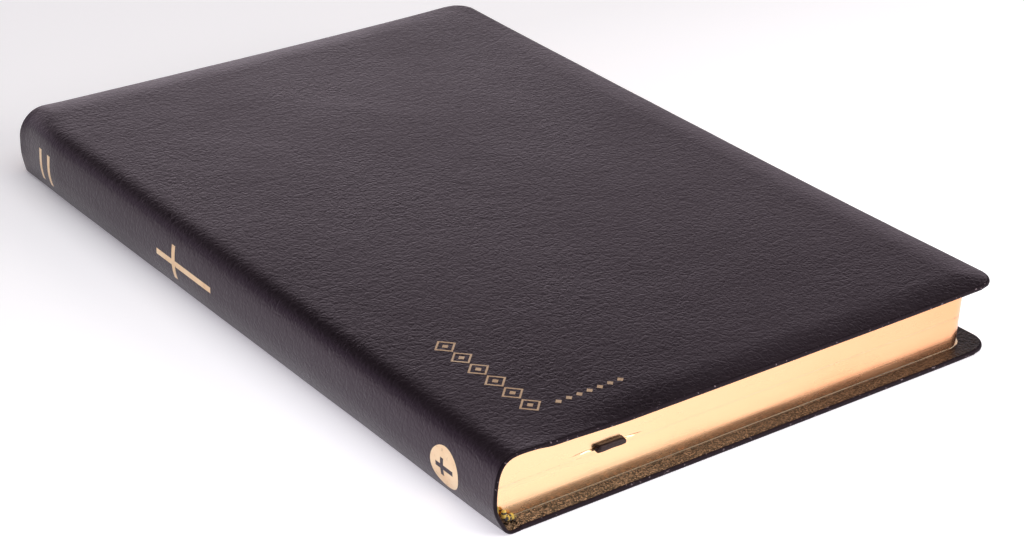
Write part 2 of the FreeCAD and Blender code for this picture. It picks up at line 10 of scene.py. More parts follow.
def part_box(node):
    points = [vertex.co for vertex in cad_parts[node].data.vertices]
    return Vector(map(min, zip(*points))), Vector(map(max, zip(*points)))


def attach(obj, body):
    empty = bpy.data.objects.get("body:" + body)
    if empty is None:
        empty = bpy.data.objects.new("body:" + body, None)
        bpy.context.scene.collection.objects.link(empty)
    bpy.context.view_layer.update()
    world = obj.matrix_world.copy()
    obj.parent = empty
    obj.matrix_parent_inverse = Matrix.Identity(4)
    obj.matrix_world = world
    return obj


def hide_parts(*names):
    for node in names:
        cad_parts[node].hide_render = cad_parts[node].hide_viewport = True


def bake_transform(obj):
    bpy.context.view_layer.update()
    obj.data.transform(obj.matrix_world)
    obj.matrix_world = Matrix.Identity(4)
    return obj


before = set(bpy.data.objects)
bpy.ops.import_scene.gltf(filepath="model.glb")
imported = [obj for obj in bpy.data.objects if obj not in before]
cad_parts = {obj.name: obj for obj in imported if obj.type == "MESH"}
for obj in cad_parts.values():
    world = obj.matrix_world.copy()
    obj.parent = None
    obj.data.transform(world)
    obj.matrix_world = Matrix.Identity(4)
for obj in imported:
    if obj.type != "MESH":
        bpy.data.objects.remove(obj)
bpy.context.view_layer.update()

MM = 0.001

# ---------------------------------------------------------------- places, mostly read from the frame

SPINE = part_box("spine_leather_rear")[0].x
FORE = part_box("back_cover_leather")[1].x
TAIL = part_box("back_cover_leather")[0].y
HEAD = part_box("back_cover_leather")[1].y
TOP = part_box("front_cover_leather")[1].z
MIDDLE = TOP / 2
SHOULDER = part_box("spine_leather_front")[1].x - SPINE
REAR_SHOULDER = 1.2 * MM
CORNER = 6.0 * MM
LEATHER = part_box("back_cover_card")[0].z
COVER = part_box("back_pastedown")[0].z
PAGE_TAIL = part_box("signature_16")[0].y
PAGE_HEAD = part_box("signature_16")[1].y
PAGE_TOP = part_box("signature_01")[1].z
PAGE_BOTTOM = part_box("signature_32")[0].z
PAGE_CORNER = 5.0 * MM
FRONT_PAGES_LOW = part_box("signature_16")[0].z - 0.065 * MM
REAR_PAGES_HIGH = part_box("signature_17")[1].z + 0.065 * MM
PAGE_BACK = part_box("signature_16")[0].x
PAGE_FORE_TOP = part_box("signature_01")[1].x
PAGE_FORE_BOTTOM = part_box("signature_32")[1].x

# Lengths along the outside from the middle of the spine: its flats, then to the end of each shoulder.
FRONT_FLAT = TOP - SHOULDER - MIDDLE
FRONT_ROUND = FRONT_FLAT + SHOULDER * math.pi / 2
REAR_FLAT = MIDDLE - REAR_SHOULDER
REAR_ROUND = REAR_FLAT + REAR_SHOULDER * math.pi / 2

# Where the leather is divided between its pieces, on the flat of the spine.
FRONT_SEAM = 1.0 * MM
REAR_SEAM = MIDDLE - 4.0 * MM

LEAN_TOP = 8.5 * MM
RIM = 0.6 * MM
RIM_STEPS = 6
LEVEL_STEP = 0.12 * MM
HINGE_PAPER = 0.06 * MM
LEATHER_SHINE = (1.0, 0.69, 0.94, 1)
RIBBON_WIDTH = 8.0 * MM
RIBBON_MIDDLE = SPINE + 29.5 * MM
RIBBON_HEIGHT = 10.15 * MM
BAND_SIDES = 14

# The surround's light by height, and by side from the spine's to the fore edge's.
SKY_TINT = (1.0, 0.90, 0.97)
SKY_BY_HEIGHT = ((0.0, 1.0), (0.30, 0.98), (0.40, 0.44), (0.49, 0.08), (0.60, 0.04), (1.0, 0.09))
SKY_BY_SIDE = ((0.0, (0.20, 0.18, 0.23)), (0.30, (0.26, 0.24, 0.29)), (0.60, (0.86, 0.84, 0.86)),
               (0.76, (1.0, 1.0, 1.0)), (0.86, (0.62, 0.60, 0.61)), (1.0, (0.50, 0.48, 0.48)))
SKY_STRENGTH = 1.42


def held(value):
    """The value, kept between 0 and 1."""
    return min(1.0, max(0.0, value))


def eased(value):
    """The value kept between 0 and 1, with a smooth start and end."""
    share = held(value)
    return share * share * (3 - 2 * share)


# ---------------------------------------------------------------- node helpers


class Nodes:
    """A node tree whose nodes are added and linked by short calls."""

    def __init__(self, tree):
        self.tree = tree

    def node(self, kind, inputs, **settings):
        """Add a node, set its properties, and set or link its inputs by name or number."""
        made = self.tree.nodes.new(kind)
        for key, value in settings.items():
            setattr(made, key, value)
        for key, value in inputs.items():
            self.put(made.inputs[key], value)
        return made

    def put(self, socket, value):
        """Link an output to a socket, or set its value."""
        if isinstance(value, bpy.types.NodeSocket):
            self.tree.links.new(value, socket)
        else:
            socket.default_value = value

    def math(self, operation, *values, clamp=False):
        inputs = dict(enumerate(values))
        return self.node("ShaderNodeMath", inputs, operation=operation, use_clamp=clamp).outputs[0]

    def vector(self, operation, *values):
        return self.node("ShaderNodeVectorMath", dict(enumerate(values)), operation=operation).outputs[0]

    def axis(self, vector, letter):
        """One coordinate of a vector."""
        return self.node("ShaderNodeSeparateXYZ", {0: vector}).outputs[letter]

    def ramp(self, value, low, high, low_out=0.0, high_out=1.0, kind="LINEAR"):
        """The value carried from low..high to low_out..high_out."""
        inputs = {0: value, 1: low, 2: high, 3: low_out, 4: high_out}
        return self.node("ShaderNodeMapRange", inputs, interpolation_type=kind).outputs[0]

    def colour_ramp(self, value, stops):
        """The colour at a value, from (position, colour) stops."""
        made = self.node("ShaderNodeValToRGB", {0: value})
        elements = made.color_ramp.elements
        while len(elements) < len(stops):
            elements.new(0.5)
        for element, (position, colour) in zip(elements, stops):
            element.position = position
            element.color = (*colour, 1)
        return made.outputs["Color"]

    def total(self, *terms):
        """The sum of (value, weight) terms."""
        result = 0.0
        for value, weight in terms:
            result = self.math("MULTIPLY_ADD", value, weight, result)
        return result

    def mix(self, share, first, second):
        return self.node("ShaderNodeMix", {0: share, 6: first, 7: second}, data_type="RGBA").outputs[2]

    def noise(self, place, scale, detail=2.0, roughness=0.5, distortion=0.0, output="Fac"):
        inputs = {"Vector": place, "Scale": scale, "Detail": detail, "Roughness": roughness,
                  "Distortion": distortion}
        return self.node("ShaderNodeTexNoise", inputs).outputs[output]

    def bands(self, place, scale, direction, distortion, detail=2.0):
        """Soft parallel bands, repeated along one axis."""
        inputs = {"Vector": place, "Scale": scale, "Distortion": distortion, "Detail": detail}
        return self.node("ShaderNodeTexWave", inputs, bands_direction=direction).outputs["Fac"]

    def cell_valleys(self, place, scale, width):
        """0 on the borders between cells, rising to 1 a width away from them."""
        inputs = {"Vector": place, "Scale": scale}
        cells = self.node("ShaderNodeTexVoronoi", inputs, feature="DISTANCE_TO_EDGE")
        return self.ramp(cells.outputs["Distance"], 0.0, width)

    def place(self, *scale):
        """Coordinates in the object's own frame, stretched by a scale if one is given."""
        source = self.node("ShaderNodeTexCoord", {}).outputs["Object"]
        if not scale:
            return source
        return self.node("ShaderNodeMapping", {"Vector": source, "Scale": scale}).outputs["Vector"]


class NodeMaterial(Nodes):
    """A Principled material."""

    def __init__(self, name):
        self.material = bpy.data.materials.new(name)
        self.material.use_nodes = True
        super().__init__(self.material.node_tree)

    def finish(self, colour, roughness, bump=None, constants=()):
        """Connect the shader. bump is (height, distance, strength); constants are (socket, value)."""
        sockets = {"Base Color": colour, "Roughness": roughness, **dict(constants)}
        if bump:
            relief = self.node("ShaderNodeBump", dict(zip(("Height", "Distance", "Strength"), bump)))
            sockets["Normal"] = relief.outputs["Normal"]
        for name, value in sockets.items():
            self.put(self.tree.nodes["Principled BSDF"].inputs[name], value)
        return self.material


# ---------------------------------------------------------------- camera, light and floor


def place_in_scene(thing, name):
    """Add an object that holds a mesh, camera or light to the scene."""
    made = bpy.data.objects.new(name, thing)
    bpy.context.scene.collection.objects.link(made)
    return made


def make_camera():
    """The viewpoint: above the tail and the spine, looking across the cover."""
    azimuth, elevation, roll = math.radians(-37.3), math.radians(26.88), math.radians(1.47)
    distance = 595.9 * MM
    target = Vector((1.0 * MM, -12.8 * MM, 0.0))
    back = Vector((math.sin(azimuth) * math.cos(elevation),
                   -math.cos(azimuth) * math.cos(elevation), math.sin(elevation)))
    data = bpy.data.cameras.new("camera")
    data.sensor_width = 36.0
    data.lens = 86.9
    camera = place_in_scene(data, "camera")
    turn = (-back).to_track_quat("-Z", "Y").to_matrix() @ Euler((0, 0, roll)).to_matrix()
    camera.matrix_world = Matrix.Translation(target + back * distance) @ turn.to_4x4()
    bpy.context.scene.camera = camera


def soft_light(name, place, size, power, colour=(1, 1, 1)):
    """A rectangular studio light that faces the middle of the book."""
    data = bpy.data.lights.new(name, "AREA")
    data.shape = "RECTANGLE"
    data.size, data.size_y = size
    data.energy = power
    data.color = colour
    place = Vector(place)
    turn = (-place).to_track_quat("-Z", "Y").to_matrix().to_4x4()
    place_in_scene(data, name).matrix_world = Matrix.Translation(place) @ turn


def make_surround():
    """A pale surround: bright near the horizon, dark higher up, and dimmer on the spine's side."""
    world = bpy.data.worlds.new("surround")
    world.use_nodes = True
    w = Nodes(world.node_tree)
    direction = w.node("ShaderNodeTexCoord", {}).outputs["Generated"]
    side = w.axis(direction, "X")
    by_height = w.colour_ramp(w.axis(direction, "Z"), [(height, [strength * channel for channel in SKY_TINT])
                                                       for height, strength in SKY_BY_HEIGHT])
    by_side = w.colour_ramp(w.ramp(side, -1.0, 1.0), SKY_BY_SIDE)
    glow = w.ramp(side, 0.0, -0.55, 0.0, 0.10, "SMOOTHSTEP")
    light = w.vector("ADD", w.vector("MULTIPLY", by_height, by_side), glow)
    background = w.tree.nodes["Background"]
    w.put(background.inputs["Color"], light)
    w.put(background.inputs["Strength"], SKY_STRENGTH)
    bpy.context.scene.world = world


def make_studio():
    """A pale floor that glows with painted light, strongest at the front, which lightens the book's contact
    shadow; the surround and two soft lights.
    """
    make_surround()
    soft_light("overhead_light", (0.0, -0.40, 1.15), (1.2, 1.0), 9.5)
    soft_light("front_light", (0.62, -0.85, 0.52), (0.8, 0.4), 5.0, (1.0, 0.95, 0.88))

    mesh = bpy.data.meshes.new("floor")
    reach = 6.0
    corners = [(-reach, -reach, 0), (reach, -reach, 0), (reach, reach, 0), (-reach, reach, 0)]
    mesh.from_pydata(corners, [], [(0, 1, 2, 3)])
    m = NodeMaterial("floor_paint_and_glow")
    # Painted glow: the floor emits light of its own, more at the front than behind, washing out the book's
    # contact shadow.
    glow = m.ramp(m.axis(m.place(), "Y"), -0.12, 0.12, 0.60, 0.20)
    mesh.materials.append(m.finish((0.93, 0.93, 0.93, 1), 0.9, constants=(
        ("Emission Color", (0.96, 0.93, 1.0, 1)), ("Emission Strength", glow))))
    place_in_scene(mesh, "floor")
    bpy.context.scene.view_settings.view_transform = "Standard"


# ---------------------------------------------------------------- materials


def leather_material():
    """Fine pebbled black leather: small cells, soft creases, a few bright scuffs on its edges."""
    m = NodeMaterial("black_leather")
    place = m.place()
    warp = m.vector("SUBTRACT", m.noise(place, 420.0, output="Color"), (0.5, 0.5, 0.5))
    warped = m.vector("MULTIPLY_ADD", warp, (0.0011, 0.0011, 0.0011), place)
    valley = m.cell_valleys(warped, 760.0, 0.22)
    wide_valley = m.cell_valleys(warped, 330.0, 0.12)
    creases = m.noise(m.place(0.34, 1.0, 0.34), 700.0, 4.0, 0.6, 0.4)
    pores = m.noise(place, 2600.0)
    height = m.total((valley, 0.42), (wide_valley, 0.32), (creases, 0.95), (pores, 0.30))

    dark, light = (0.0062, 0.0040, 0.0052, 1), (0.0110, 0.0074, 0.0092, 1)
    colour = m.mix(m.ramp(m.noise(place, 18.0, 3.0), 0.3, 0.7), dark, light)
    colour = m.mix(m.ramp(creases, 0.45, 0.75, 0.0, 0.35), colour, light)
    wear = m.node("ShaderNodeAttribute", {}, attribute_name="wear").outputs["Fac"]
    worn = m.math("MULTIPLY", wear, m.ramp(m.noise(place, 240.0, 3.0), 0.42, 0.62), clamp=True)
    colour = m.mix(m.math("MULTIPLY", worn, 0.12), colour, (0.075, 0.058, 0.055, 1))
    shine = m.ramp(m.noise(place, 36.0, 3.0), 0.3, 0.7, 0.31, 0.38)
    return m.finish(colour, m.total((shine, 1.0), (valley, -0.05)), (height, 0.00013, 0.47),
                    [("Specular Tint", LEATHER_SHINE)])


def cut_edge_material():
    """The turned edge of the leather: darker and duller, with painted glints: tiny bright specks in its
    colour, where it is also less rough.
    """
    m = NodeMaterial("leather_edge")
    grain = m.noise(m.place(), 2400.0, 3.0, 0.6)
    # Painted glints: small bright specks mixed into the colour, standing in for highlights on the rim.
    painted_glints = m.ramp(m.noise(m.place(), 1300.0), 0.66, 0.72)
    colour = m.mix(m.ramp(grain, 0.3, 0.7), (0.0040, 0.0028, 0.0034, 1), (0.0080, 0.0056, 0.0066, 1))
    return m.finish(m.mix(painted_glints, colour, (0.20, 0.16, 0.17, 1)), m.ramp(painted_glints, 0.0, 1.0, 0.58, 0.30),
                    (grain, 0.00010, 0.5), [("Specular IOR Level", 0.18), ("Specular Tint", LEATHER_SHINE)])


def turn_in_material():
    """The inner face of the leather: black and finely grained, with painted specks of the gilt edges'
    reflection, fading towards the fore edge.
    """
    m = NodeMaterial("leather_turn_in")
    place = m.place()
    grain = m.noise(place, 1700.0, 2.0, 0.6)
    coarse = m.noise(place, 700.0, 3.0, 0.6)
    colour = m.mix(m.ramp(grain, 0.35, 0.65), (0.0040, 0.0028, 0.0028, 1), (0.0150, 0.0100, 0.0070, 1))
    # Painted reflection: gold specks in the colour stand for the gilt page edges mirrored in the grain,
    # strongest by the spine and faint at the fore edge.
    grains = m.node("ShaderNodeTexVoronoi", {"Vector": place, "Scale": 3800.0}).outputs["Color"]
    painted_glints = m.ramp(m.axis(grains, "X"), 0.50, 0.95)
    painted_gilt_reflection = m.math("MULTIPLY", painted_glints, m.ramp(m.axis(place, "X"), SPINE, FORE, 0.80, 0.02))
    return m.finish(m.mix(painted_gilt_reflection, colour, (0.60, 0.40, 0.25, 1)), m.ramp(coarse, 0.3, 0.7, 0.26, 0.38),
                    (m.total((grain, 1.0), (coarse, 0.8)), 0.00030, 0.9), [("Specular IOR Level", 0.18)])


def gilt_material():
    """Gilded page edges: bright metal with fine lines along the leaves, redder towards the fore edge."""
    m = NodeMaterial("gilt_edge")
    place = m.place()
    lines = m.noise(m.place(0.004, 0.004, 1.0), 9000.0, 3.0, 0.6)
    drift = m.noise(m.place(0.2, 0.2, 1.0), 260.0, 3.0)
    redder = m.ramp(m.axis(place, "X"), SPINE * 0.6, FORE)
    colour = m.mix(redder, (0.97, 0.64, 0.37, 1), (0.97, 0.445, 0.222, 1))
    colour = m.mix(m.ramp(m.noise(place, 30.0, 3.0), 0.40, 0.75, 0.0, 0.30), colour, (0.95, 0.66, 0.40, 1))
    colour = m.mix(m.ramp(lines, 0.60, 0.9, 0.0, 0.20), colour, (0.96, 0.70, 0.46, 1))
    return m.finish(colour, m.ramp(drift, 0.3, 0.7, 0.20, 0.30), (lines, 0.00002, 0.12), [("Metallic", 1.0)])


def dimmed(colour, share=1.0):
    """A colour multiplied by a share, with its alpha added."""
    return (*[channel * share for channel in colour], 1)


def paper_material(name="bible_paper", colour=(0.84, 0.79, 0.68), speckle=0.05):
    """Thin uncoated paper with faint fibres and slight toning."""
    m = NodeMaterial(name)
    fibres = m.noise(m.place(1.0, 0.3, 1.0), 1500.0, 4.0, 0.6)
    toning = m.ramp(m.noise(m.place(), 22.0, 3.0), 0.3, 0.7)
    tinted = m.mix(toning, dimmed(colour, 1 - 2 * speckle), dimmed(colour))
    tinted = m.mix(m.ramp(fibres, 0.35, 0.75, 0.0, 0.25), tinted, dimmed(colour, 0.93))
    return m.finish(tinted, m.ramp(fibres, 0.3, 0.7, 0.72, 0.86), (fibres, 0.00002, 0.4))


def foil_material():
    """Blocked gold foil, a little broken by the grain under it."""
    m = NodeMaterial("pressed_gold")
    grain = m.noise(m.place(), 900.0, 3.0, 0.6)
    patches = m.ramp(m.noise(m.place(), 160.0, 3.0), 0.3, 0.7)
    colour = m.mix(patches, (0.86, 0.60, 0.36, 1), (0.95, 0.74, 0.50, 1))
    colour = m.mix(m.ramp(grain, 0.62, 0.72, 0.0, 0.45), colour, (0.30, 0.20, 0.12, 1))
    return m.finish(colour, m.ramp(grain, 0.3, 0.7, 0.32, 0.5), (grain, 0.00008, 0.5), [("Metallic", 0.85)])


def thread_material(name, colour):
    """Twisted thread: fine ridges, slightly shiny, with uneven dye."""
    m = NodeMaterial(name)
    ridges = m.noise(m.place(1.0, 1.0, 0.35), 5200.0)
    dyed = m.mix(m.ramp(m.noise(m.place(), 700.0), 0.3, 0.7), dimmed(colour, 0.62), dimmed(colour))
    return m.finish(dyed, m.ramp(ridges, 0.3, 0.7, 0.5, 0.7), (ridges, 0.00005, 0.6), [("Sheen Weight", 0.3)])


def ribbon_material():
    """Black satin ribbon with fine ribs across it and a woven edge."""
    m = NodeMaterial("black_satin_ribbon")
    ribs = m.bands(m.place(), 900.0, "X", 0.6, 1.0)
    weft = m.noise(m.place(0.2, 1.0, 1.0), 3000.0)
    height = m.total((ribs, 0.6), (weft, 0.4))
    colour = m.mix(m.ramp(height, 0.3, 0.8), (0.007, 0.004, 0.005, 1), (0.034, 0.020, 0.021, 1))
    return m.finish(colour, m.ramp(weft, 0.3, 0.7, 0.38, 0.52), (height, 0.00005, 0.7),
                    [("Specular IOR Level", 0.35), ("Specular Tint", (1.0, 0.75, 0.72, 1))])


def mull_material():
    """Open starched cloth: two crossed sets of threads."""
    m = NodeMaterial("mull_weave")
    height = m.math("MAXIMUM", m.bands(m.place(), 420.0, "Y", 0.8), m.bands(m.place(), 420.0, "Z", 0.8))
    colour = m.mix(m.ramp(height, 0.4, 0.9), (0.42, 0.38, 0.30, 1), (0.72, 0.68, 0.58, 1))
    return m.finish(colour, m.ramp(height, 0.2, 0.9, 0.9, 0.75), (height, 0.0001, 0.7))


# ---------------------------------------------------------------- shape of the leather


def section(run):
    """Point (x, z) of the book's plain outside, run metres along it.

    run is 0 at the middle of the spine, positive over the front cover and negative under the back.
    """
    flat, rounded, radius = FRONT_FLAT, FRONT_ROUND, SHOULDER
    if run < 0:
        flat, rounded, radius = REAR_FLAT, REAR_ROUND, REAR_SHOULDER
    length = abs(run)
    if length <= flat:
        across, rise = 0.0, length
    elif length <= rounded:
        turn = (length - flat) / radius
        across, rise = radius - radius * math.cos(turn), flat + radius * math.sin(turn)
    else:
        across, rise = radius + length - rounded, MIDDLE
    return SPINE + across, MIDDLE + math.copysign(rise, run)


def fullness(y):
    """1 along most of the spine, falling to 0 at the head, where it is slacker."""
    return eased((HEAD - y) / (24 * MM))


def lean(x, z, y):
    """How far the spine lies from its plain plane: out at its belly, in towards the table.

    It fades out under the pages.
    """
    low = max(0.0, 1 - z / LEAN_TOP)
    height = held(z / TOP)
    belly = (1.8 * fullness(y) - 0.3) * MM * 4 * height * (1 - height)
    return (1.6 * MM * low * low - belly) * held(1 - (x - SPINE - 3 * MM) / (11 * MM))


def moulded(x, y, z):
    """Where a point of the plain section lies in the book's real, squarer shoulder."""
    across, up = SPINE + SHOULDER - x, z - (TOP - SHOULDER)
    if across > 0 and up > 0:
        power = 2.0 + 3.0 * fullness(y)
        grow = math.hypot(across, up) / (across ** power + up ** power) ** (1 / power)
        x = SPINE + SHOULDER - across * grow
        z = TOP - SHOULDER + up * grow
    return x + lean(x, z, y), z


def flare(run, y):
    """How far the leather stands off the pages at the open ends of the spine."""
    low = eased((run + MIDDLE - 1.8 * MM) / (5.5 * MM))
    high = eased((20 * MM - run) / (12 * MM))
    tail = held(1 - (y - TAIL) / (17 * MM)) ** 2 * 0.5 * MM
    head = held(1 - (HEAD - y) / (12 * MM)) ** 2 * 0.2 * MM
    return low * high * (tail + head)


def edge_bend(distance, reach):
    """0 well inside the cover, rising smoothly to 1 at its edge."""
    return held(1 - distance / reach) ** 2


def front_droop(x, y):
    """How far the front cover sags below flat: most along its edges, less at its near corner.

    It is raised at its far corner.
    """
    along = (y - TAIL) / (HEAD - TAIL)
    outward = max(0.0, (x - SPINE) / (FORE - SPINE))
    fore = edge_bend(FORE - x, 9 * MM) * (0.85 - 0.5 * max(0.0, along) ** 6) * MM
    beyond_flare = eased((x - SPINE - 12 * MM) / (22 * MM))
    ends = max(edge_bend(y - TAIL, 9 * MM) * beyond_flare, edge_bend(HEAD - y, 9 * MM)) * 0.75 * MM
    near_corner = outward ** 6 * (1 - along) ** 6
    far_corner = outward ** 5 * along ** 3
    raised = 0.5 * MM * near_corner + 0.48 * MM * far_corner
    return math.hypot(fore, ends) * (1 - 0.85 * far_corner) - raised


def back_lift(x, y):
    """The back cover lies flat, with its fore edge and corners a little off the table."""
    outward = max(0.0, (x - SPINE) / (FORE - SPINE))
    along = (y - TAIL) / (HEAD - TAIL)
    wave = 0.12 * MM * (1 + math.sin(along * 17.0 + 1.0)) * edge_bend(FORE - x, 8 * MM)
    return wave + 0.4 * MM * outward ** 20 * abs(2 * along - 1) ** 20


def softness(place):
    """Slow swells and shallow creases in the leather, in metres along its outward normal."""
    swell = noise.noise(place * 28.0) * 0.10 * MM
    return swell + noise.noise(place * 95.0 + Vector((7, 3, 1))) * 0.035 * MM


def spine_place(run, y):
    """A place on the outside, moulded, but without the sag, flare and swells."""
    x, z = section(run)
    x, z = moulded(x, y, z)
    return Vector((x, y, z))


class LeatherPoint:
    """One place on the leather: its outside and inside points, and its outward normal."""

    def __init__(self, run, y):
        x, _ = section(run)
        along = (spine_place(run + 0.05 * MM, y) - spine_place(run - 0.05 * MM, y)).normalized()
        self.normal = Vector((-along.z, 0, along.x))
        place = spine_place(run, y)
        board = 0.0
        if run > 0:
            place.z -= front_droop(x, y) * held((run - FRONT_FLAT) / (FRONT_ROUND - FRONT_FLAT))
        if run > FRONT_ROUND:
            board = eased((x - SPINE - SHOULDER) / (5 * MM))
        on_back = -run > REAR_ROUND
        if on_back:
            place.z += back_lift(x, y)
            board = held((x - SPINE - 3.0 * MM) / (0.3 * MM))
        swell = softness(place)
        if on_back:
            swell = min(swell, 0.0) * 0.4
        fade = min(1.0, min(y - TAIL, HEAD - y) / (3 * MM) + 0.3)
        self.outside = place + self.normal * (swell * fade + flare(run, y))
        self.inside = self.outside - self.normal * (LEATHER + (COVER - LEATHER) * board)


def spread(low, high, step, dense_low=0.0, dense_high=0.0, fine=None):
    """Numbers from low to high, a step apart, closer together near ends that are marked dense."""
    fine = fine or step / 3
    values = [low]
    while values[-1] < high:
        here = values[-1]
        near = here - low < dense_low or high - here < dense_high
        values.append(here + (fine if near else step))
    values[-1] = high
    if len(values) > 2 and values[-1] - values[-2] < fine * 0.4:
        values.pop(-2)
    return values


def corner_inset(y, tail, head, radius):
    """How far the fore edge is drawn in at a height y by the rounded corners."""
    beyond = max(tail + radius - y, y - (head - radius), 0.0)
    return radius - math.sqrt(max(radius * radius - min(beyond, radius) ** 2, 0.0))


def slab_faces(rows, columns):
    """Faces between two stacked grids of points: both broad sides, with the upper grid first."""
    layer = rows * columns
    faces = []
    for row in range(rows - 1):
        for column in range(columns - 1):
            first = row * columns + column
            quad = [first, first + 1, first + 1 + columns, first + columns]
            faces.append(quad)
            faces.append([corner + layer for corner in quad[::-1]])
    return faces


def slab_border(rows, columns):
    """Faces that close two stacked grids all the way round, and the edges along their rims."""
    layer, last = rows * columns, (rows - 1) * columns
    border = list(range(columns))
    border += [row * columns + columns - 1 for row in range(1, rows)]
    border += [last + column for column in range(columns - 2, -1, -1)]
    border += [row * columns for row in range(rows - 2, 0, -1)]
    faces, rim = [], []
    for first, second in zip(border, border[1:] + border[:1]):
        faces.append([second, first, first + layer, second + layer])
        rim += [(first, second), (first + layer, second + layer)]
    return faces, rim


def mesh_piece(name, vertices, faces, sharp=()):
    """A smooth-shaded mesh object, with some of its edges sharp."""
    mesh = bpy.data.meshes.new(name)
    mesh.from_pydata([tuple(v) for v in vertices], [], [tuple(f) for f in faces])
    mesh.update()
    mesh.polygons.foreach_set("use_smooth", [True] * len(mesh.polygons))
    if sharp:
        marked = {tuple(sorted(pair)) for pair in sharp}
        flags = [tuple(sorted(edge.vertices)) in marked for edge in mesh.edges]
        mesh.attributes.new("sharp_edge", "BOOLEAN", "EDGE").data.foreach_set("value", flags)
    return place_in_scene(mesh, name)


def face_outward(piece):
    """Make every face of a closed mesh face outwards."""
    work = bmesh.new()
    work.from_mesh(piece.data)
    bmesh.ops.recalc_face_normals(work, faces=work.faces)
    work.to_mesh(piece.data)
    work.free()


def leather_grid(ys, runs, fore_end):
    """Rows of leather points. A fore edge is drawn in at its ends by the rounded corners."""
    grid = []
    bend_start = runs[-1] - math.copysign(CORNER + 10 * MM, runs[-1])
    for y in ys:
        inset = corner_inset(y, TAIL + RIM, HEAD - RIM, CORNER - RIM)
        row = []
        for run in runs:
            if fore_end and abs(run) > abs(bend_start):
                share = (run - bend_start) / (runs[-1] - bend_start)
                run = run - math.copysign(inset, run) * share
            row.append(LeatherPoint(run, y))
        grid.append(row)
    return grid


def rim_chains(ys, columns, fore_end):
    """(row, column, way out) along the free edges of a strip: one chain with a fore edge, or two."""
    last = len(ys) - 1
    tail = [(0, column, Vector((0, -1, 0))) for column in range(columns)]
    head = [(last, column, Vector((0, 1, 0))) for column in reversed(range(columns))]
    if not fore_end:
        return [tail, head]
    fore = []
    for row, y in enumerate(ys[1:], 1):
        beyond = max(TAIL + CORNER - y, y - (HEAD - CORNER), 0.0) / (CORNER - RIM)
        tilt = math.copysign(min(beyond, 1.0), y)
        fore.append((row, columns - 1, Vector((math.sqrt(1 - tilt * tilt), tilt, 0))))
    return [tail + fore + head[1:]]


def round_rim(chain, grid, vertices, faces, sharp):
    """Close one chain of free edges with a half-round rim from the outside to the inside."""
    columns, inner = len(grid[0]), len(grid) * len(grid[0])
    strips = []
    for row, column, away in chain:
        point, top = grid[row][column], row * columns + column
        middle = (point.outside + point.inside) / 2
        half = point.outside - middle
        strip = [top]
        for step in range(1, RIM_STEPS):
            turn = math.pi * step / RIM_STEPS
            strip.append(len(vertices))
            vertices.append(middle + half * math.cos(turn) + away * RIM * math.sin(turn))
        strips.append(strip + [inner + top])
    for first, second in zip(strips, strips[1:]):
        for step in range(RIM_STEPS):
            faces.append((first[step], first[step + 1], second[step + 1], second[step]))
    for end in (strips[0], strips[-1][::-1]):
        faces.append(end[::-1])
        sharp.extend(zip(end, end[1:]))


def leather_piece(name, runs, fore_end=False):
    """A closed strip of leather over a list of runs, whose last is a rounded fore edge if fore_end."""
    ys = spread(TAIL + RIM, HEAD - RIM, 1.25 * MM, 8 * MM, 8 * MM, 0.5 * MM)
    grid = leather_grid(ys, runs, fore_end)
    rows, columns = len(ys), len(runs)
    inner = rows * columns
    vertices = [point.outside for row in grid for point in row]
    vertices += [point.inside for row in grid for point in row]
    faces, sharp = slab_faces(rows, columns), []
    broad = len(faces)
    for chain in rim_chains(ys, columns, fore_end):
        round_rim(chain, grid, vertices, faces, sharp)
    for column in [0] if fore_end else [0, columns - 1]:
        for row in range(rows - 1):
            a, b = row * columns + column, row * columns + columns + column
            quad = (a, b, inner + b, inner + a)
            faces.append(quad if column == 0 else quad[::-1])
            sharp += [(a, b), (inner + a, inner + b)]
    if runs[-1] < runs[0]:
        faces = [face[::-1] for face in faces]
    piece = mesh_piece(name, vertices, faces, sharp)

    # The finishes are the outside, the turned edge and the inside, in that order.
    finishes = [index % 2 * 2 for index in range(broad)] + [1] * (len(faces) - broad)
    piece.data.polygons.foreach_set("material_index", finishes)
    near = np.minimum(np.array(ys) - TAIL, HEAD - np.array(ys))[:, None].repeat(columns, 1)
    if fore_end:
        near = np.minimum(near, abs(runs[-1] - np.array(runs)) + RIM)
    wear = np.zeros(len(vertices), np.float32)
    wear[:inner] = np.maximum(0.0, 1.0 - near / (2.5 * MM)).ravel() * 0.8
    wear[2 * inner:] = 1.0
    piece.data.attributes.new("wear", "FLOAT", "POINT").data.foreach_set("value", wear)
    return piece


def cover_runs(start, hinge, radius, fine):
    """Runs over a shoulder and across a cover, closer together at the shoulder and the fore edge."""
    lap = 4 * MM if radius == SHOULDER else 5 * MM
    fore = hinge + FORE - SPINE - radius
    return (spread(start, hinge + lap, fine)
            + spread(hinge + lap + 1 * MM, fore - RIM, 1.25 * MM, 0, 8 * MM, 0.5 * MM))


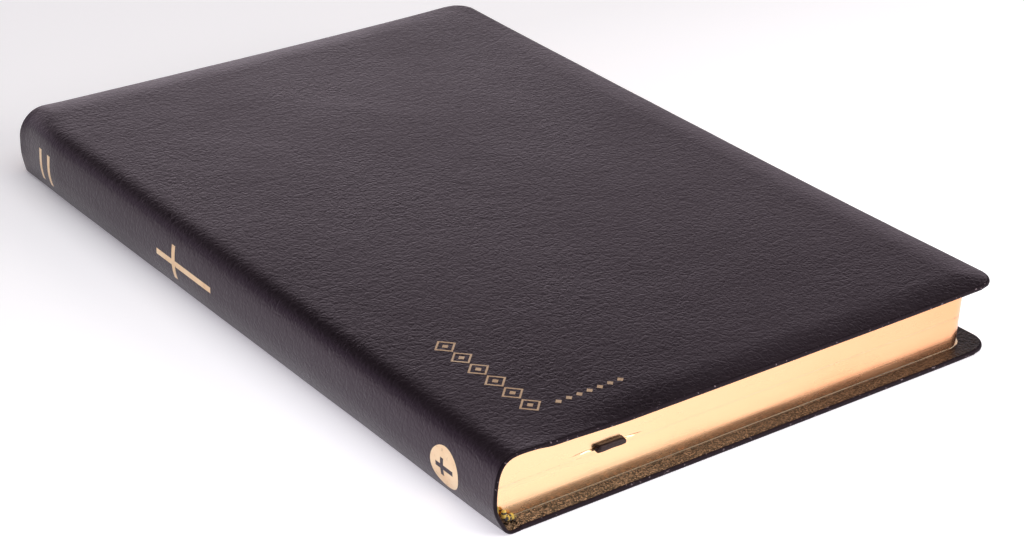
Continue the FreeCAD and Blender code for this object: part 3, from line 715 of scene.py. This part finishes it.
def make_leather():
    """The cover: three strips of leather, for the front cover, the spine and the back cover, divided on the
    flat of the spine.
    """
    finishes = (leather_material(), cut_edge_material(), turn_in_material())
    front = leather_piece("front_cover_skin", cover_runs(FRONT_SEAM, FRONT_ROUND, SHOULDER, 0.5 * MM), True)
    spine = leather_piece("spine_skin", spread(-REAR_SEAM, FRONT_SEAM, 0.3 * MM))
    back_runs = cover_runs(REAR_SEAM, REAR_ROUND, REAR_SHOULDER, 0.35 * MM)
    back = leather_piece("back_cover_skin", [-run for run in back_runs], True)
    for piece in (front, spine, back):
        for finish in finishes:
            piece.data.materials.append(finish)
    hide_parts("front_cover_leather", "spine_leather_front")
    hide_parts("spine_leather_rear")
    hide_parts("back_cover_leather")
    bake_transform(front)
    bend_at_spine_middle(spine)
    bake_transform(back)


def bend_at_spine_middle(piece):
    """Bake a piece's placement into its mesh."""
    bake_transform(piece)


# ---------------------------------------------------------------- pages


def settled(x, y, z):
    """Height of a point of the pages, which lie lower where the front cover sags."""
    return z - max(0.0, front_droop(x, y)) * held((z - PAGE_BOTTOM) / (PAGE_TOP - PAGE_BOTTOM))


def page_back(z):
    """X of the backs of the pages at a height, which follows the inside of the spine."""
    for radius, beyond in ((SHOULDER, z - (TOP - SHOULDER)), (REAR_SHOULDER, REAR_SHOULDER - z)):
        if beyond > 0:
            inside = SPINE + radius - PAGE_BACK
            return SPINE + radius - math.sqrt(max(inside * inside - beyond * beyond, 0.0))
    return PAGE_BACK


def page_fore(z):
    """X of the fore edge at a height. The upper leaves reach a little further."""
    share = (z - PAGE_BOTTOM) / (PAGE_TOP - PAGE_BOTTOM)
    return PAGE_FORE_BOTTOM + (PAGE_FORE_TOP - PAGE_FORE_BOTTOM) * share


def page_outline(fore):
    """(x, y, way out) round a leaf from the tail of its back, by the fore edge, to the head of its back."""
    points = [(x, PAGE_TAIL, 0.0, -1.0) for x in spread(PAGE_BACK, fore - PAGE_CORNER, 2.0 * MM)]
    for step in range(1, 12):
        turn = math.pi / 2 * step / 12
        points.append((fore - PAGE_CORNER + PAGE_CORNER * math.sin(turn),
                       PAGE_TAIL + PAGE_CORNER - PAGE_CORNER * math.cos(turn),
                       math.sin(turn), -math.cos(turn)))
    mirrored = [(x, -y, nx, -ny) for x, y, nx, ny in points[::-1]]
    straight = spread(PAGE_TAIL + PAGE_CORNER, PAGE_HEAD - PAGE_CORNER, 3.0 * MM)
    return points + [(fore, y, 1.0, 0.0) for y in straight] + mirrored


def parting(x, z):
    """How far the leaves are pushed in round the end of the ribbon."""
    across = abs(x - RIBBON_MIDDLE) / (RIBBON_WIDTH / 2 + 5 * MM)
    up = abs(z - RIBBON_HEIGHT) / (0.30 * MM * max(0.2, 1.0 - across * across))
    if across >= 1.0 or up >= 1.0:
        return 0.0
    return 0.5 * MM * (1 - up * up) * (1 - across ** 4)


def page_walls(low, high, seed):
    """Rings of points up the sides of half the pages, each leaf a little in or out of line."""
    levels = round((high - low) / LEVEL_STEP)
    rng = random.Random(seed)
    fore = page_fore(low)
    outline = page_outline(fore)
    rings = []
    for level in range(levels + 1):
        z = low + (high - low) * level / levels
        stretch = (page_fore(z) - page_back(z)) / (fore - PAGE_BACK)
        jitter = rng.uniform(-1, 1) * 0.002 * MM
        ring = []
        for x, y, nx, ny in outline:
            x = page_back(z) + (x - PAGE_BACK) * stretch
            drift = noise.noise(Vector((x * 14, y * 14, level * 0.9 + seed))) * 0.005 * MM
            push = jitter + drift - (parting(x, z) if ny == -1.0 else 0.0)
            place_x, place_z = moulded(x, y, z)
            ring.append((place_x + nx * push, y + ny * push, settled(x, y, place_z)))
        rings.append(ring)
    return rings


def page_block(name, low, high, seed):
    """Half the pages: gilt walls with the lines of the leaves in them, and paper faces."""
    rings = page_walls(low, high, seed)
    vertices = [point for ring in rings for point in ring]
    levels, count = len(rings) - 1, len(rings[0])
    faces, sharp = [], []
    for base in range(0, levels * count, count):
        for index in range(count):
            a, b = base + index, base + (index + 1) % count
            faces.append((a, b, b + count, a + count))
        sharp += [(base, base + count), (base + count - 1, base + 2 * count - 1)]
    walls = len(faces)
    middle_x, middle_y = (page_back(low) + page_fore(low)) / 2, (PAGE_TAIL + PAGE_HEAD) / 2
    for base, z, way in ((0, low, -1), (levels * count, high, 1)):
        outer = list(range(base, base + count))
        sharp += zip(outer, outer[1:] + outer[:1])
        for share in (0.95, 0.88, 0.78, 0.5):
            ring = list(range(len(vertices), len(vertices) + count))
            for corner_x, corner_y, _ in vertices[base:base + count]:
                x = middle_x + (corner_x - middle_x) * share
                y = middle_y + (corner_y - middle_y) * share
                vertices.append((x, y, settled(x, y, z)))
            for index in range(count):
                after = (index + 1) % count
                faces.append((outer[index], outer[after], ring[after], ring[index])[::way])
            outer = ring
        faces += [(outer[index], outer[(index + 1) % count], len(vertices))[::way] for index in range(count)]
        vertices.append((middle_x, middle_y, z))
    piece = mesh_piece(name, vertices, faces, sharp)
    piece.data.materials.append(shared["gilt"])
    piece.data.materials.append(shared["bible_paper"])

    # The broad faces and the wall along the backs of the leaves are paper.
    paper = [index >= walls or index % count == count - 1 for index in range(len(faces))]
    piece.data.polygons.foreach_set("material_index", [int(is_paper) for is_paper in paper])
    return piece


def make_pages():
    """The two halves of the block."""
    front = page_block("front_pages", FRONT_PAGES_LOW, PAGE_TOP, 3)
    rear = page_block("rear_pages", PAGE_BOTTOM, REAR_PAGES_HIGH, 8)
    for piece, body, numbers in ((front, "front_block", range(1, 17)), (rear, "rear_block", range(17, 33))):
        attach(piece, body)
        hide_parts(*[f"signature_{number:02d}" for number in numbers])


# ---------------------------------------------------------------- thin sheets


def path_normals(path):
    """The unit normal at each point of a path of two coordinates."""
    normals = []
    for before, after in zip(path[:1] + path[:-1], path[1:] + path[-1:]):
        along = Vector((after[0] - before[0], after[1] - before[1])).normalized()
        normals.append(Vector((-along.y, along.x)))
    return normals


def thin_sheet(name, path, thickness, half_height, settle, corner_from=None, edge_material=None):
    """A sheet swept along a path of (x, z) points, from tail to head.

    settle(x, y, z) gives the height of each point. Points of the path beyond x corner_from are drawn
    in to round the fore corners. The paper is the first material; edge_material finishes the edges.
    """
    ys = spread(-half_height, half_height, 4 * MM, 7 * MM, 7 * MM, 0.8 * MM)
    fore = max(x for x, _ in path)
    normals = path_normals(path)
    vertices = []
    for offset in (0.5 * thickness, -0.5 * thickness):
        for y in ys:
            inset = corner_inset(y, -half_height, half_height, PAGE_CORNER)
            for (x, z), normal in zip(path, normals):
                if corner_from is not None and x > corner_from:
                    x -= inset * (x - corner_from) / (fore - corner_from)
                vertices.append((x + normal.x * offset, y, settle(x, y, z) + normal.y * offset))
    faces = slab_faces(len(ys), len(path))
    border, rim = slab_border(len(ys), len(path))
    piece = mesh_piece(name, vertices, faces + border, rim)
    piece.data.materials.append(shared["bible_paper"])
    if edge_material:
        piece.data.materials.append(edge_material)
        piece.data.polygons.foreach_set("material_index", [0] * len(faces) + [1] * len(border))
    return piece


def level(x, y, z):
    """A sheet that keeps its own height."""
    return z


def with_front_cover(x, y, z):
    """A sheet glued inside the front cover."""
    return z - front_droop(x, y)


def with_back_cover(x, y, z):
    """A sheet on the inside of the back cover."""
    return z + back_lift(x, y)


def make_endpapers():
    """The sheets that line the covers, and the strips that bridge each hinge on the inside."""
    plans = (("front_pastedown", "front_cover", with_front_cover, "front_block", PAGE_TOP, 1),
             ("back_pastedown", "back_cover", with_back_cover, "rear_block", PAGE_BOTTOM, -1))
    for node, cover, settle, block, page_z, way in plans:
        low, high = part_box(node)
        middle = (low.z + high.z) / 2
        path = [(x, middle) for x in spread(low.x, high.x, 4 * MM, 3 * MM, 8 * MM, 1 * MM)]
        sheet = thin_sheet(f"{node}_sheet", path, high.z - low.z, high.y, settle, high.x - 12 * MM,
                           shared["gilt"])
        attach(sheet, cover)
        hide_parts(node)

        # The strip starts inside the pages and ends inside the cover, so both its ends are hidden.
        start, end = page_z - way * 0.5 * MM, middle + way * 0.6 * MM
        x = low.x + 0.16 * MM
        heights = spread(0.0, abs(end - start), 0.05 * MM)
        strip = thin_sheet(f"{node}_hinge", [(x, start + way * height) for height in heights],
                           HINGE_PAPER, high.y - 1 * MM, settle)
        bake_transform(strip)
        for piece in (sheet, strip):
            piece.data.materials[0] = shared["endpaper"]


def make_gutter():
    """The paper that bridges the two halves where the book opens in the middle."""
    inner, outer = PAGE_BACK, SPINE + 0.95 * MM
    low, rise = REAR_PAGES_HIGH - 0.03 * MM, MIDDLE - 0.02 * MM
    path = [(x, low) for x in spread(inner + 0.1 * MM, inner + 6 * MM, 1 * MM)][::-1]
    for step in range(1, 8):
        share = step / 8
        path.append((inner + (outer - inner) * share * 0.6, low + (rise - low) * min(1.0, share * 2)))
    path.append((outer, rise))
    path += [(x, 2 * MIDDLE - z) for x, z in path[::-1]]
    piece = thin_sheet("gutter_paper", path, 0.03 * MM, PAGE_HEAD, level)
    for vertex in piece.data.vertices:
        vertex.co.x += lean(vertex.co.x, MIDDLE, vertex.co.y)
    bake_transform(piece)


def make_leaves():
    """The four leaves that part from the pages when the book opens."""
    thickness, bend = 0.09 * MM, 26 * MM
    plans = (("front_flyleaf", "front_block", settled), ("back_flyleaf", "back_cover", with_back_cover),
             ("centre_leaf_rear", "rear_block", settled), ("centre_leaf_front", None, settled))
    for node, anchor, settle in plans:
        low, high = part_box(node)
        z = (low.z + high.z) / 2
        fold_end = low.x + 30 * MM
        places = spread(low.x, fold_end, 0.8 * MM)[:-1]
        places += spread(fold_end, high.x, 4 * MM, 0, 8 * MM, 1 * MM)
        piece = thin_sheet(f"{node}_sheet", [(x, z) for x in places], thickness, high.y, settle,
                           high.x - 12 * MM, shared["gilt"])
        if anchor:
            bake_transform(piece)
        else:
            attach(piece, node)
        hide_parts(node)
        paper = "endpaper" if "flyleaf" in node else "bible_paper"
        piece.data.materials[0] = shared[paper]


def make_cards():
    """The liner card inside each cover, which follows the cover's sag or lift."""
    for node, cover, settle in (("front_cover_card", "front_cover", with_front_cover),
                                ("back_cover_card", "back_cover", with_back_cover)):
        low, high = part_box(node)
        path = [(x, (low.z + high.z) / 2) for x in spread(low.x, high.x, 4 * MM, 2 * MM, 4 * MM, 1 * MM)]
        card = thin_sheet(f"{node}_sheet", path, (high.z - low.z) * 0.9, high.y, settle)
        card.data.materials[0] = shared["card"]
        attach(card, cover)
        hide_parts(node)


# ---------------------------------------------------------------- gold foil


def cover_surface(x, y):
    """The point of the leather at a place on the front cover."""
    return LeatherPoint(FRONT_ROUND + x - SPINE - SHOULDER, y)


def spine_surface(z, y):
    """The point of the leather at a height on the spine."""
    run = z - MIDDLE
    if run > FRONT_FLAT:
        run = FRONT_FLAT + SHOULDER * math.asin(min(1.0, (run - FRONT_FLAT) / SHOULDER))
    return LeatherPoint(run, y)


def patch_between(*corners):
    """A flat four-sided patch as a function of two shares, 0 to 1."""
    a, b, c, d = [Vector(corner) for corner in corners]
    return lambda u, v: a.lerp(b, u).lerp(d.lerp(c, u), v)


def rectangle_patch(middle, low, width, length):
    """A patch centred on middle in the first direction, starting at low in the second."""
    near, far = middle - width / 2, middle + width / 2
    return patch_between((near, low), (far, low), (far, low + length), (near, low + length))


def inlay(name, patches, surface, steps):
    """Foil pressed into the leather: each patch follows the surface and stands a hair proud."""
    proud, sunk = 0.018 * MM, 0.03 * MM
    side = steps + 1
    border, rim = slab_border(side, side)
    vertices, faces, sharp = [], [], []
    for place in patches:
        base = len(vertices)
        points = [surface(*place(column / steps, row / steps))
                  for row in range(side) for column in range(side)]
        for offset in (proud, -sunk):
            vertices += [point.outside + point.normal * offset for point in points]
        faces += [[corner + base for corner in face] for face in slab_faces(side, side) + border]
        sharp += [(first + base, second + base) for first, second in rim]
    piece = mesh_piece(name, vertices, faces, sharp)
    face_outward(piece)
    piece.data.materials.append(shared["foil"])
    return piece


def lozenge_corners(x, y, side):
    reach = side / math.sqrt(2)
    return [(x + reach, y), (x, y + reach), (x - reach, y), (x, y - reach)]


def make_cover_foil():
    """Six open lozenges in a chain beside the spine, and seven small ones along the tail."""
    patches = []
    small = 1.2 * MM
    for number in range(6):
        x, y = SPINE + 17.3 * MM, TAIL + (14.5 + 6.0 * number) * MM
        outer, inner = lozenge_corners(x, y, 4.0 * MM), lozenge_corners(x, y, 3.1 * MM)
        for side in range(4):
            after = (side + 1) % 4
            patches.append(patch_between(outer[side], outer[after], inner[after], inner[side]))
        patches.append(patch_between(*lozenge_corners(x, y, small)))
    for number in range(7):
        x = SPINE + (23.0 + 2.7 * number) * MM
        patches.append(patch_between(*lozenge_corners(x, TAIL + 12.4 * MM, small)))
    piece = inlay("cover_gold", patches, cover_surface, 6)
    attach(piece, "front_cover")
    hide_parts("cover_foil")


def badge_patches(z, y, radius):
    """A disc with a small cross left open: one patch from each side of the cross to the rim."""
    upright, bar, width = 3.0 * MM, 2.1 * MM, 0.55 * MM
    hub = Vector((0.0, 0.8 * MM))
    low, high = hub.y - width, hub.y + width
    right = [(width, -upright), (width, low), (bar, low), (bar, high), (width, high), (width, upright)]
    outline = [Vector(corner) for corner in right + [(-x, y) for x, y in right[::-1]]]

    def sector(first, second):
        first_way, second_way = (first - hub).normalized(), (second - hub).normalized()

        def place(share, out):
            way = first_way.slerp(second_way, share)
            along = hub.dot(way)
            to_rim = math.sqrt(along * along - hub.dot(hub) + radius * radius) - along
            point = first.lerp(second, share).lerp(hub + way * to_rim, out)
            return z + point.x, y + point.y

        return place

    return [sector(first, second) for first, second in zip(outline, outline[1:] + outline[:1])]


def make_spine_foil():
    """Two bands, a cross and a round badge down the spine."""
    line = 1.5 * MM
    patches = [rectangle_patch(8.2 * MM, TAIL + distance * MM, 8.4 * MM, line) for distance in (190.4, 195.6)]
    z, y, upright, bar = 8.8 * MM, TAIL + 123.3 * MM, 25.0 * MM, 8.6 * MM
    bar_low = y + 4.6 * MM - line / 2
    patches.append(rectangle_patch(z, y - upright / 2, line, bar_low - y + upright / 2))
    patches.append(rectangle_patch(z, bar_low, bar, line))
    patches.append(rectangle_patch(z, bar_low + line, line, y + upright / 2 - bar_low - line))
    patches += badge_patches(7.9 * MM, TAIL + 18.1 * MM, 4.9 * MM)
    piece = inlay("spine_gold", patches, spine_surface, 14)
    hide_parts("spine_foil_front", "spine_foil_rear")
    bend_at_spine_middle(piece)


# ---------------------------------------------------------------- bands, ribbon and spine layers


def tube(path, radii, sides):
    """Vertices and faces of a closed tube along a path, with a radius for each of its points."""
    vertices, faces = [], []
    reference = Vector((0.37, 0.61, 0.70))
    for point, before, after, radius in zip(path, path[:1] + path[:-1], path[1:] + path[-1:], radii):
        first = (after - before).normalized().cross(reference).normalized()
        second = (after - before).normalized().cross(first)
        for side in range(sides):
            turn = 2 * math.pi * side / sides
            vertices.append(point + (first * math.cos(turn) + second * math.sin(turn)) * radius)
    last = (len(path) - 1) * sides
    for base in range(0, last, sides):
        for side in range(sides):
            a, b = base + side, base + (side + 1) % sides
            faces.append((a, b, b + sides, a + sides))
    faces.append(tuple(range(sides))[::-1])
    faces.append(tuple(range(last, last + sides)))
    return vertices, faces


def band_path(low, high, end_sign):
    """The line of a band's cord: down inside the spine, round a bend, then out along the pages' foot."""
    bend, step = 0.9 * MM, 0.07 * MM
    foot = PAGE_BOTTOM + 0.40 * MM
    x, y = low.x + 1.01 * MM, end_sign * (PAGE_HEAD + 0.75 * MM)
    x += lean(x, foot, y)
    path = [Vector((x, y, z)) for z in spread(foot + bend, high.z - bend, step)[::-1]]
    for part in range(1, 20):
        turn = math.pi / 2 * part / 20
        path.append(Vector((x + bend * (1 - math.cos(turn)), y, foot + bend * (1 - math.sin(turn)))))
    return path + [Vector((place, y, foot)) for place in spread(x + bend, high.x - 0.7 * MM, step)]


def wound_cord(path):
    """A cord with ridges of winding along it: vertices, faces, and which thread covers each face."""
    pitch, taper, tip = 0.42 * MM, 0.5 * MM, 0.12 * MM
    lengths = [0.0]
    for before, after in zip(path, path[1:]):
        lengths.append(lengths[-1] + (after - before).length)
    radii = []
    for point, length in zip(path, lengths):
        ridge = 0.80 + 0.20 * math.sqrt(abs(math.sin(math.pi * length / pitch)))
        loose = 1.0 + 0.45 * noise.noise(point * 800)
        to_end = min(length, lengths[-1] - length)
        radii.append(0.66 * MM * ridge * loose * min(1.0, (to_end + tip) / taper))
    vertices, faces = tube(path, radii, BAND_SIDES)
    windings = [int(lengths[face // BAND_SIDES] / pitch) for face in range(len(faces) - 2)]
    threads = [int(winding % 3 == 1 or winding % 7 == 5) for winding in windings] + [0, 0]
    return vertices, faces, threads


def frayed_end(rng, path, end_sign):
    """A short loose thread that starts near the cord and droops."""

    def scatter(x, y, z):
        """A random step in millimetres from three ranges, with y measured away from the pages."""
        return Vector((rng.uniform(*x), end_sign * rng.uniform(*y), rng.uniform(*z))) * MM

    spot = path[rng.randrange(len(path) // 2, len(path))]
    start = spot + scatter((-0.2, 0.4), (0.1, 0.5), (-0.4, 0.5))
    bow = scatter((-0.2, 0.9), (0.0, 0.35), (-0.4, 0.7))
    droop = scatter((-0.2, 0.5), (-0.2, 0.1), (-0.7, 0.0))
    size = rng.uniform(0.07, 0.13) * MM
    shares = [step / 8 for step in range(9)]
    line = [start + bow * share + droop * share * share for share in shares]
    return tube(line, [size * (1 - 0.55 * share ** 2) for share in shares], 6)


def flange(low, high, end_sign):
    """The hidden plate that holds a band to the spine."""
    ends = sorted((end_sign * (PAGE_HEAD - 6 * MM), end_sign * (PAGE_HEAD + 0.5 * MM)))
    corners = [Vector((x, y, z)) for x in (low.x + 0.02 * MM, PAGE_BACK - 0.02 * MM)
               for y in ends for z in (REAR_SHOULDER, high.z)]
    return corners, [(0, 1, 3, 2), (4, 6, 7, 5), (0, 4, 5, 1), (2, 3, 7, 6), (0, 2, 6, 4), (1, 5, 7, 3)]


def make_band(name, node, end_sign):
    """A worked band: a cord wound with yellow and dark thread, frayed where it turns out of the spine."""
    rng = random.Random(11 + end_sign)
    low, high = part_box(node)
    path = band_path(low, high, end_sign)
    vertices, faces, threads = wound_cord(path)

    def add(part, thread):
        base = len(vertices)
        vertices.extend(part[0])
        faces.extend([corner + base for corner in face] for face in part[1])
        threads.extend([thread] * len(part[1]))

    for _ in range(26):
        add(frayed_end(rng, path, end_sign), int(rng.random() < 0.35))
    add(flange(low, high, end_sign), 0)
    piece = mesh_piece(name, vertices, faces)
    piece.data.polygons.foreach_set("material_index", threads)
    piece.data.materials.append(shared["yellow_thread"])
    piece.data.materials.append(shared["dark_thread"])
    face_outward(piece)
    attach(piece, "rear_block")
    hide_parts(node)


def ribbon_path(start, end):
    """(distance out from the tail, height) along the ribbon: flat in the pages, then rolled up outside."""
    run = [(start + (end - start) * step / 24, 0.0) for step in range(24)]
    run += [(-3.0 * MM, 0.0), (-2.0 * MM, 0.1 * MM), (-1.0 * MM, 0.4 * MM), (-0.3 * MM, 0.62 * MM)]
    deep, tall, turns, steps = 0.62 * MM, 0.82 * MM, 1.6, 52
    for step in range(steps + 1):
        share = step / steps
        turn = math.radians(112) - 2 * math.pi * turns * share
        reach = 1.0 - 0.62 * share
        run.append((deep + deep * reach * math.cos(turn), tall * reach * math.sin(turn) - 0.12 * MM))
    return run


def ribbon_vertex(share, out, up, offset, low_x):
    """A point of the ribbon: share across it, out from the tail and up, moved along offset."""
    rolled = eased((out + 0.5 * MM) / MM)
    corner = 0.16 * min(1.0, abs(up + 0.1 * MM) / MM) ** 3
    across = share * RIBBON_WIDTH * (1.0 - rolled * (0.09 + corner)) + rolled * 0.35 * MM
    slant = max(0.0, -out) * math.tan(math.radians(6.0))
    thin = 1.0 - 0.35 * (abs(share) * 2) ** 12
    wander = 0.05 * MM * math.sin(share * 9.0 + 1.0) * held(out / MM)
    return (max(RIBBON_MIDDLE + across - slant, low_x), PAGE_TAIL - out - offset.x * thin,
            RIBBON_HEIGHT + up + offset.y * thin + wander)


def make_ribbon():
    """The marker: a narrow woven ribbon through the pages, with its tail end rolled up."""
    low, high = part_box("ribbon_marker")
    start = PAGE_TAIL - high.y + 0.5 * MM
    path = ribbon_path(start, start + high.y - PAGE_TAIL - 4 * MM)
    across, half_thickness = 9, 0.12 * MM
    vertices = []
    for side in (half_thickness, -half_thickness):
        for (out, up), normal in zip(path, path_normals(path)):
            for column in range(across):
                share = column / (across - 1) - 0.5
                vertices.append(ribbon_vertex(share, out, up, normal * side, low.x))
    border, _ = slab_border(len(path), across)
    piece = mesh_piece("marker_ribbon", vertices, slab_faces(len(path), across) + border)
    face_outward(piece)
    piece.data.materials.append(shared["ribbon"])
    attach(piece, "front_block")
    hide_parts("ribbon_marker")


def make_spine_layers():
    """Paper lining, open cloth and sewing thread in the spine's two halves, drawn in with the leather."""
    layers = (("spine_lining", "kraft", "spine_paper"), ("mull", "mull", "mull_cloth"),
              ("sewing_thread", "linen_thread", "sewing_thread"))
    for half in ("front", "rear"):
        for layer, finish, slot_name in layers:
            node = f"{layer}_{half}"
            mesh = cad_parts[node].data.copy()
            for vertex in mesh.vertices:
                vertex.co.x, vertex.co.z = moulded(*vertex.co)
            mesh.materials.clear()
            mesh.materials.append(shared[finish])
            piece = place_in_scene(mesh, f"{node}_layer")
            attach(piece, f"{half}_block")
            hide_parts(node)


# ---------------------------------------------------------------- build

shared = {}
make_camera()
make_studio()
shared["bible_paper"] = paper_material()
shared["endpaper"] = paper_material("cream_endpaper", (0.80, 0.72, 0.56), 0.04)
shared["card"] = paper_material("grey_card", (0.42, 0.40, 0.37), 0.08)
shared["kraft"] = paper_material("kraft_lining", (0.46, 0.33, 0.21), 0.08)
shared["gilt"] = gilt_material()
shared["foil"] = foil_material()
shared["yellow_thread"] = thread_material("yellow_thread", (0.88, 0.62, 0.10))
shared["dark_thread"] = thread_material("dark_thread", (0.030, 0.024, 0.030))
shared["linen_thread"] = thread_material("linen_thread", (0.78, 0.74, 0.64))
shared["ribbon"] = ribbon_material()
shared["mull"] = mull_material()
make_leather()
make_pages()
make_endpapers()
make_gutter()
make_leaves()
make_cover_foil()
make_spine_foil()
make_band("tail_band_threads", "tail_band", -1)
make_band("head_band_threads", "head_band", 1)
make_ribbon()
make_spine_layers()
make_cards()
